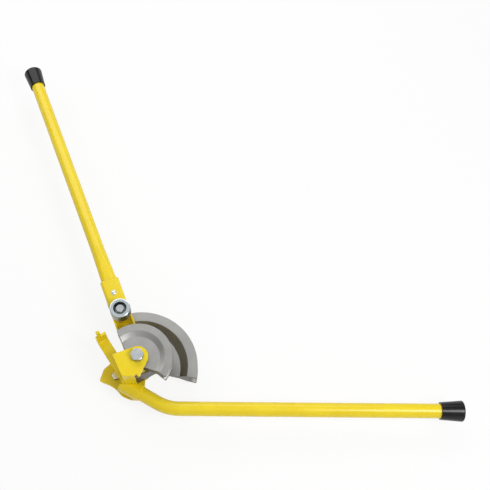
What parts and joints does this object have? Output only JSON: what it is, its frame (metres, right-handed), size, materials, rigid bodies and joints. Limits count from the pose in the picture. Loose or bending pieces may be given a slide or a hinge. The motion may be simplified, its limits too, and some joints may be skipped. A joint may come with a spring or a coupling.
{
  "type": "pipe bender",
  "caption": "Hand pipe bender with two long handles: half-round formers for two pipe sizes stacked on one pivot bolt, a roller lever swinging round them, and a hook that holds the pipe's tail.",
  "frame": {"origin": "rear tip of the pivot bolt, on the pivot axis", "axes": "+Z along the pivot axis towards the bolt head and the small former, +X along the fixed handle, +Y towards the bending side"},
  "size_m": [0.8079, 0.7216, 0.1155],
  "materials": {
    "yellow_paint": "gloss yellow enamel",
    "former_metal": "cast and lightly brushed",
    "zinc_steel": "bright zinc",
    "roller_steel": "turned and polished",
    "cap_rubber": "smooth black"
  },
  "bodies": {
    "fixed_handle": {"lower_tube": "yellow_paint", "lower_cap": "cap_rubber", "tube_socket": "yellow_paint", "yoke_base": "yellow_paint", "front_ear": "yellow_paint", "rear_plate": "yellow_paint", "large_former": "former_metal", "small_former": "former_metal", "former_keys": "zinc_steel", "pivot_bolt": "zinc_steel", "pivot_washers": "zinc_steel", "pivot_nut": "zinc_steel", "pivot_bush": "zinc_steel", "hook_arm": "yellow_paint", "wing_bolt": "zinc_steel", "wing_nut": "zinc_steel"},
    "lever": {"lever_channel": "yellow_paint", "pivot_boss": "yellow_paint", "upper_tube": "yellow_paint", "upper_cap": "cap_rubber", "front_axle": "zinc_steel", "front_axle_boss": "yellow_paint", "front_axle_nut": "zinc_steel", "rear_axle": "zinc_steel", "rear_axle_collar": "zinc_steel", "rear_axle_nut": "zinc_steel"},
    "front_roller": {"front_roller": "roller_steel"},
    "rear_roller": {"rear_roller": "roller_steel"}
  },
  "joints": [
    {"name": "lever_swing", "type": "hinge", "parent": "fixed_handle", "child": "lever", "pos_m": [0, 0, 0.0664], "axis": [0, 0, 1], "range_deg": [-108, 12]},
    {"name": "front_roller_spin", "type": "hinge", "parent": "lever", "child": "front_roller", "pos_m": [-0.03359, 0.08661, 0], "axis": [0, 0, 1], "continuous": true},
    {"name": "rear_roller_spin", "type": "hinge", "parent": "lever", "child": "rear_roller", "pos_m": [-0.04947, 0.12754, 0], "axis": [0, 0, 1], "continuous": true}
  ]
}
